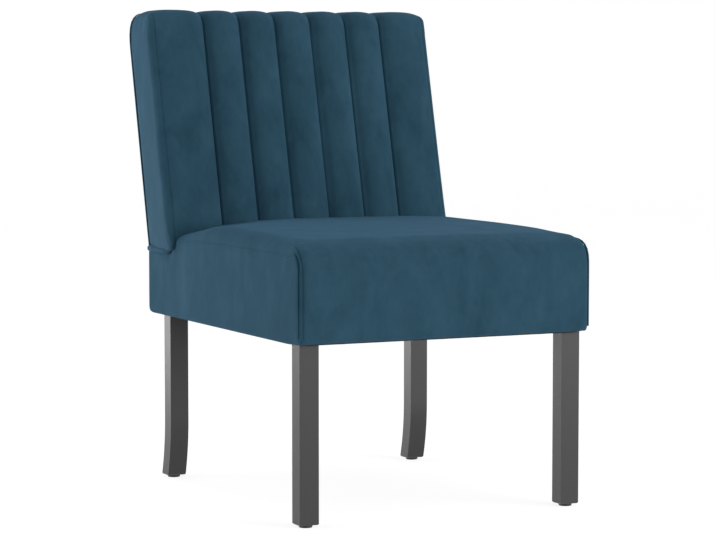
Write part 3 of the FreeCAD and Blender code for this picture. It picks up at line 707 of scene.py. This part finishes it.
def drop_hem(place):
    """Draw the hem of a side panel down, fully at the side and less towards the front."""
    near_side = step_between(seat_half - hem_sides[0], seat_half - hem_sides[1], abs(place.x))
    near_hem = 1 - step_between(0, hem_height, place.z - seat_low.z)
    from_front = step_between(0, hem_front, place.y - seat_low.y)
    share = hem_front_share + (1 - hem_front_share) * from_front
    return place - Vector((0, 0, hem_drop * near_side * near_hem * share))


inflate(seat_cushion, seat_sewn, pressure=4, reach=2 * mm)
refine(seat_cushion)
for vert in seat_cushion.data.vertices:
    vert.co = drop_hem(vert.co)
print("seat cushion", len(seat_cushion.data.polygons), "faces")


# %% [markdown]
# Below the foam the seat is hollow: the timber frame stands in it and the webbing carries the foam.
# The hollow is cut with boxes, so that the cover goes round the rails as the real one does. The
# cover is turned in underneath by the width of a rail, and the bolts of the legs pass through it.

# %% Hollow the seat
def box_mesh(low, high):
    """A box between two corners."""
    mesh = bmesh.new()
    bmesh.ops.create_cube(mesh, size=1)
    middle = (Vector(low) + Vector(high)) / 2
    spans = Vector(high) - Vector(low)
    bmesh.ops.transform(mesh, matrix=Matrix.LocRotScale(middle, None, spans), verts=mesh.verts)
    return mesh


def carve(piece, mesh):
    """Cut the form of a mesh out of a piece."""
    cutter = new_piece("cutter", mesh, velvet)
    cut = piece.modifiers.new("cut", "BOOLEAN")
    cut.operation = "DIFFERENCE"
    cut.solver = "MANIFOLD"
    cut.object = cutter
    settle(piece)
    bpy.data.objects.remove(cutter)


frame_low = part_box("seat_front_rail")[0]
frame_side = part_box("seat_right_rail")[1].x
frame_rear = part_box("seat_rear_rail")[1].y
frame_high = Vector((frame_side, frame_rear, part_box("seat_foam")[0].z))
post_low, post_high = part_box("back_right_post")
turned_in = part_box("seat_right_panel")[0].x
bolt_low, bolt_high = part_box("leg_hanger_bolts")
bolt_thick = 8.5 * mm
post_room = 5 * mm
opening_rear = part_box("seat_rear_cover")[0].y
opening_front = frame_low.y + (frame_high.x - turned_in)
below = Vector((0, 0, -20 * mm))
carve(seat_cushion, box_mesh(frame_low, frame_high))
carve(seat_cushion, box_mesh(
    Vector((-turned_in, opening_front, seat_low.z)) + below, (turned_in, opening_rear, frame_low.z + mm)
))
for side in (-1, 1):
    way_low = Vector((min(side * post_low.x, side * post_high.x), post_low.y, frame_high.z - mm))
    way_high = Vector((max(side * post_low.x, side * post_high.x), frame_high.y, back_seam + post_room))
    carve(seat_cushion, box_mesh(way_low, way_high))
    for y in (bolt_low.y, bolt_high.y - bolt_thick):
        x = bolt_high.x if side > 0 else bolt_low.x + bolt_thick
        corner = Vector((x - bolt_thick, y, seat_low.z))
        carve(seat_cushion, box_mesh(
            corner + below / 4, corner + Vector((bolt_thick, bolt_thick, frame_low.z + mm - seat_low.z))
        ))
print("seat hollowed to", len(seat_cushion.data.polygons), "faces")
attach(seat_cushion, "root")
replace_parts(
    seat_cushion, "seat_foam", "seat_rail_wadding", "seat_waterfall_cover", "seat_rear_cover",
    "seat_left_panel", "seat_right_panel"
)


# %% [markdown]
# The back is a slab of foam that leans back. Its front is sewn into seven upright channels that run
# over the top and down to the seam of the outer panel. The slab is made upright, where the voxels
# of the remesh lie along its faces, and sheared afterwards, because its foot and its top are level
# while its front and rear lean.

# %% Back sizes
back_parts = ["back_channel_panel", "back_left_boxing", "back_right_boxing", "back_outer_panel"]
back_boxes = [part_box(name) for name in back_parts]
back_low = Vector([min(box[0][axis] for box in back_boxes) for axis in range(3)])
back_high = Vector([max(box[1][axis] for box in back_boxes) for axis in range(3)])
side_puff = 2.6 * mm
foot_drop = 3 * mm
top_drop = 3 * mm
back_half = back_high.x + side_puff
back_top = back_high.z - top_drop
back_foot = back_low.z - foot_drop
rear_half = 241 * mm
pitch = 64.3 * mm
seam_shift = 6.5 * mm
channel_deep = 11 * mm
panel_thick = 2.3 * mm
boxing_seam = 244.5 * mm
seams = [pitch * (count - 2.5) + seam_shift for count in range(6)]
print("back", [round(size, 4) for size in back_high - back_low])
print("seams", [round(seam, 4) for seam in seams])

# %% Back blank
front_arc = 23 * mm
rear_arc = 63 * mm
foot_arc = 22 * mm
# The roll of the front edge in millimetres: at the foot, and what it gains up to the top.
front_edge_roll = 5
front_edge_gain = 5
rear_edge_roll = 3 * mm
over_top_roll = 20 * mm
under_foot_roll = 1.5 * mm
back_corners = [
    (-back_deep, back_foot, foot_arc),
    (-back_deep, back_top, front_arc),
    (-panel_thick, back_top, rear_arc),
    (-panel_thick, back_foot, mm),
]
back_outline = side_outline(back_corners)


def back_roll(place, outward):
    """How large the roll is: it grows up the front edge, is wide over the top and tight elsewhere."""
    climb = step_between(back_low.z, back_high.z, place.z)
    front_roll = (front_edge_roll + front_edge_gain * climb) * mm
    level_share = front_roll if outward.y < 0 else rear_edge_roll
    upright_share = over_top_roll if outward.z > 0 else under_foot_roll
    return upright_share * outward.z ** blend + level_share * outward.y ** blend


back_cushion = new_piece("back_cushion", rolled_body(back_outline, back_half, back_roll), velvet)
voxel(back_cushion, size=5.4 * mm)
print("back blank", len(back_cushion.data.vertices), "points")

# %% [markdown]
# The channels are shaped by moving the points inwards by how far they are from the middle of their
# channel. The move is full on the front, half of it on the top and less behind it, as the cloth is
# drawn tight over the edge. Towards the seam of the side boxing the outer channels fall away too,
# mostly at the top. Pressing the cloth out afterwards makes each channel swell between its seams.

# %% Shape the channels
# Turns are degrees by which the cloth faces away from the front, up over the top to the rear.
lowest_turn = -60
top_turns = (20, 80)
rear_turns = (110, 155)
top_loss = 0.55
side_shares = (0.05, 0.5)
widening = 1.13
# The fall towards the boxing in millimetres: at the foot, and what it gains up to the top.
fall_at_foot = 0.5
fall_gain = 3
fall_start = 215 * mm
foot_band = 6 * mm
thread_band = 3 * mm
seam_facing = 0.8
boxing_facing = 0.85


def channel_share(x):
    """0 at the crown of a channel, 1 at a seam, and 0 out beyond the crowns of the outer ones."""
    across = abs(x - seam_shift) / pitch
    if across > len(seams) / 2:
        return 0
    return (2 * abs(across - round(across))) ** 2


def padding_share(normal):
    """1 where the padding faces forward, less over the top, and 0 on the sides and the rear."""
    turned = math.degrees(math.atan2(normal.z, -normal.y)) - math.degrees(rake)
    if turned < lowest_turn:
        return 0
    over_top = 1 - top_loss * step_between(*top_turns, turned)
    behind = 1 - step_between(*rear_turns, turned)
    return over_top * behind * step_between(*side_shares, 1 - abs(normal.x))


def lean_back(place):
    """Shear the upright slab into the leaning one and draw its sides in towards the rear."""
    depth = -place.y / back_deep
    width = rear_half + (back_half - rear_half) * min(1, depth * widening)
    return Vector((place.x * width / back_half, rear_of_back(place.z) + place.y, place.z))


def shape_back(place, normal):
    """Draw a point in by its distance from the seams and lean it back."""
    inward = Vector((0, -normal.y, -normal.z))
    climb = step_between(back_low.z, back_high.z, place.z)
    near_boxing = step_between(fall_start, boxing_seam, abs(place.x))
    fall = (fall_at_foot + fall_gain * climb) * mm * near_boxing
    drawn = (channel_deep * channel_share(place.x) + fall) * padding_share(normal)
    return lean_back(place + inward * drawn)


upright_normals = [vert.normal.copy() for vert in back_cushion.data.vertices]
for vert, normal in zip(back_cushion.data.vertices, upright_normals):
    vert.co = shape_back(vert.co, normal)


def back_sewn(place, normal):
    """Points held by a seam, by the outer panel or by the seat."""
    rear = place.y > rear_of_back(place.z) - held_band
    foot = place.z < back_seam + foot_band
    near_seam = min(abs(place.x - seam) for seam in seams) < thread_band
    near_boxing = abs(abs(place.x) - boxing_seam) < thread_band
    in_seam = near_seam and abs(normal.x) < seam_facing
    along_boxing = near_boxing and abs(normal.x) < boxing_facing
    return rear or foot or in_seam or along_boxing


inflate(back_cushion, back_sewn, pressure=4, reach=1.5 * mm)
refine(back_cushion)
print("back cushion", len(back_cushion.data.polygons), "faces")


# %% [markdown]
# A sewn seam is much narrower than the remesh can hold, so it is cut in afterwards. A line of edges
# is cut along the seam and one on each side of it, and the points between them are drawn in, which
# leaves a narrow crease. The cloth beside it is drawn in a little too, as the thread pulls on it.
# The same move marks the crease, where the velvet's colour is painted darker as painted shade.

# %% Sew the seams
draw_width = 14 * mm
full_crease = 2.6 * mm
cut_band = 8 * mm
cut_weld = 0.05 * mm
top_facing = (0.5, 0.9)
top_ease = 0.6
side_facing = 0.75
panel_band = 5 * mm


def crease(piece, x, half_width, deep, draw, where):
    """Cut a narrow crease along the plane at x, where that is asked for, draw in its banks and mark it
    for painted shade.
    """
    mesh = bmesh.new()
    mesh.from_mesh(piece.data)
    crease_shade_mark = mesh.verts.layers.float.get("seam") or mesh.verts.layers.float.new("seam")
    for offset in (-half_width, 0, half_width):
        faces = []
        for face in mesh.faces:
            centre = face.calc_center_median()
            if abs(centre.x - x) < cut_band and where(centre, face.normal):
                faces.append(face)
        edges = {edge for face in faces for edge in face.edges}
        verts = {vert for face in faces for vert in face.verts}
        bmesh.ops.bisect_plane(
            mesh, geom=list(verts) + list(edges) + faces, plane_co=(x + offset, 0, 0),
            plane_no=(1, 0, 0), dist=cut_weld
        )
    mesh.normal_update()
    near = [
        vert for vert in mesh.verts
        if abs(vert.co.x - x) < draw_width and where(vert.co, vert.normal)
    ]
    for vert in near:
        aside = abs(vert.co.x - x)
        on_top = step_between(*top_facing, vert.normal.z)
        share = max(0, 1 - aside / half_width) * (1 - top_ease * on_top)
        vert.co -= vert.normal * (deep * share + draw * (1 - aside / draw_width) ** 2)
        # The mark paints shade into the velvet's colour along the crease: the deeper the crease, the
        # darker.
        vert[crease_shade_mark] = max(vert[crease_shade_mark], share * deep / full_crease)
    mesh.to_mesh(piece.data)
    mesh.free()


def padded_face(place, normal):
    """The front and the top of the back, down to the outer panel."""
    return abs(normal.x) < side_facing and place.y < rear_of_back(place.z) - panel_band


for seam in seams:
    crease(back_cushion, seam, half_width=2 * mm, deep=full_crease, draw=2.8 * mm, where=padded_face)
for seam in (-boxing_seam, boxing_seam):
    crease(back_cushion, seam, half_width=1.6 * mm, deep=0.9 * mm, draw=0, where=padded_face)
print("back sewn to", len(back_cushion.data.polygons), "faces")

# %% [markdown]
# The posts and the rails of the back stand in a bay behind the foam, and the bay is closed by the
# outer panel. The bay leans as the back does, so its box is sheared before it cuts. Above the panel
# the top rail stands in a pocket that is closed at the rear, because the channel cloth covers it.

# %% Hollow the back for its timber
panel_top = back_top - rear_arc - mm
panel_overlap = 4 * mm
bay_top = panel_top - panel_overlap
bay_foot = back_low.z - 5 * mm
bay_front = -41 * mm
bay_rear = 10 * mm
pocket_rear = -6 * mm
for low, high in (
    ((-post_high.x, bay_front, bay_foot), (post_high.x, bay_rear, bay_top)),
    ((-post_high.x, bay_front, bay_top - mm), (post_high.x, pocket_rear, post_high.z)),
):
    bay = box_mesh(low, high)
    for vert in bay.verts:
        vert.co.y += rear_of_back(vert.co.z)
    carve(back_cushion, bay)
print("back hollowed to", len(back_cushion.data.polygons), "faces")
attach(back_cushion, "root")
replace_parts(back_cushion, "back_foam", "back_channel_panel", "back_left_boxing", "back_right_boxing")


# %% [markdown]
# The outer panel is a flat piece of velvet that is stapled over the bay and drawn tight, so it
# bulges only a little. It is a thin slab with the edges rolled, cut into a net of faces and pushed
# out most in its middle.

# %% Outer panel of the back
panel_half = 238 * mm
panel_bulge = 2.5 * mm
longest_face = 100 * mm
panel_corners = [
    (-panel_thick, back_foot, mm),
    (-panel_thick, panel_top, mm),
    (0, panel_top, mm),
    (0, back_foot, mm),
]
panel_mesh = rolled_body(side_outline(panel_corners), panel_half, lambda place, outward: mm)
long_edges = [edge for edge in panel_mesh.edges if edge.calc_length() > longest_face]
bmesh.ops.subdivide_edges(panel_mesh, edges=long_edges, cuts=15, use_grid_fill=True)
panel_middle = (back_low.z + panel_top) / 2
for vert in panel_mesh.verts:
    across = max(0, 1 - (vert.co.x / panel_half) ** 2)
    upright = max(0, 1 - ((vert.co.z - panel_middle) / (panel_top - panel_middle)) ** 2)
    vert.co.y += panel_bulge * across * upright + rear_of_back(vert.co.z)
bmesh.ops.recalc_face_normals(panel_mesh, faces=panel_mesh.faces)
outer_panel = new_piece("outer_panel", panel_mesh, velvet)
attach(outer_panel, "root")
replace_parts(outer_panel, "back_outer_panel")
print("outer panel", len(outer_panel.data.polygons), "faces")


# %% [markdown]
# Velvet cords finish the seams: a welt along the top of each side panel of the seat and down its
# front corner, a second fold beside it there, and a piping up each rear edge of the back. A cord is
# a line with a round section; its thickness may change along the line, as where the welt broadens
# into the folded bead under the back.

# %% Helpers for cords
top_steps = 14
# What a thin tip gains from one point to the next, in millimetres.
taper = 0.35
cord_weld = 0.01 * mm


def tapered(radius, tip, count):
    """Radii from a thin tip, in millimetres, up to the full radius: one for each point of a line."""
    return [min(radius, (tip + taper * step) * mm) for step in range(count)]


def cord(name, run, thickness):
    """A round velvet cord along a line; thickness gives its radius at each of the line's points."""
    curve = bpy.data.curves.new(name, "CURVE")
    curve.dimensions = "3D"
    curve.bevel_depth = mm
    curve.bevel_resolution = 4
    curve.use_fill_caps = True
    spline = curve.splines.new("POLY")
    spline.points.add(len(run) - 1)
    for point, place, thick in zip(spline.points, run, thickness):
        point.co = (*place, 1)
        point.radius = thick / mm
    holder = bpy.data.objects.new(name + "_line", curve)
    bpy.context.scene.collection.objects.link(holder)
    bpy.context.view_layer.update()
    graph = bpy.context.evaluated_depsgraph_get()
    mesh = bmesh.new()
    mesh.from_mesh(bpy.data.meshes.new_from_object(holder.evaluated_get(graph)))
    bpy.data.objects.remove(holder)
    bmesh.ops.remove_doubles(mesh, verts=mesh.verts, dist=cord_weld)
    bmesh.ops.recalc_face_normals(mesh, faces=mesh.faces)
    piece = new_piece(name, mesh, velvet)
    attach(piece, "root")
    return piece


def seat_rim(side, angle, rear_end, out):
    """The line along the roll of the seat at an angle: from the rear, over the waterfall and down."""
    top_front = seat_outline[2 * corner_steps + 1][0].y
    path = [
        (Vector((0, rear_end + (top_front - rear_end) * step / top_steps, seat_top)), Vector((0, 0, 1)))
        for step in range(top_steps)
    ]
    # Taken backwards, the side outline gives the waterfall, the front and one step of the hem's bend.
    path += reversed(seat_outline[corner_steps - 1:2 * corner_steps + 2])
    rim = []
    for place, outward in path:
        roll = seat_roll(place, outward) + out
        rim.append(shape_seat(rolled_point(place, outward, side, seat_half + out, roll, angle)))
    return rim


print("a thin tip grows as", [round(thick / mm, 2) for thick in tapered(1.4 * mm, 0.4, 5)], "mm")

# %% Welts and folds of the seat
welt_radius = 1.4 * mm
welt_out = -0.8 * mm
bead_radius = 5 * mm
bead_sunk = 3 * mm
bead_height = 375.3 * mm
bead_places = (260, 240, 200, 182)
rise_radii = [3.6 * mm, 2.4 * mm]
tip_radii = [mm, 0.5 * mm]
rim_rear = 126 * mm
fold_radius = 1.4 * mm
fold_out = -0.3 * mm
fold_tip = 0.4
fold_rear = -285 * mm
for side, sign in (("left", -1), ("right", 1)):
    rim = seat_rim(sign, math.pi / 2, rim_rear, welt_out)
    sunk = sign * (seat_half - bead_sunk)
    bead = [Vector((sunk, y * mm, bead_height)) for y in bead_places]
    rise = [
        Vector((sunk * 0.995, 170 * mm, bead_height + 3 * mm)),
        Vector((sign * (seat_half - mm), 157 * mm, bead_height + 9 * mm)),
    ]
    name = "seat_%s_welt" % side
    thickness = [bead_radius] * len(bead) + rise_radii
    thickness += [welt_radius] * (len(rim) - len(tip_radii)) + tip_radii
    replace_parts(cord(name + "_cord", bead + rise + rim, thickness), name)
    fold = [
        place for place in seat_rim(sign, math.pi / 4, rim_rear, fold_out)
        if place.y < fold_rear
    ]
    cord("seat_%s_front_fold" % side, fold, tapered(fold_radius, fold_tip, len(fold)))
    print(side, "welt of", len(bead + rise + rim), "points, fold of", len(fold))

# %% Pipings of the back
piping_radius = 1.7 * mm
piping_tip = 0.3
# From the foot up the rear edge, then forward over the rear arc of the top.
rear_line = [(Vector((0, -panel_thick, back_foot + mm)), Vector((0, 1, 0)))]
rear_line += reversed(back_outline[2 * corner_steps + 2:3 * corner_steps + 3])
for side, sign in (("left", -1), ("right", 1)):
    name = "back_%s_piping" % side
    run = []
    for place, outward in rear_line:
        on_roll = rolled_point(place, outward, sign, back_half, back_roll(place, outward), math.pi / 4)
        run.append(lean_back(on_roll))
    thickness = tapered(piping_radius, piping_tip, len(run))[::-1]
    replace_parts(cord(name + "_cord", run, thickness), name)
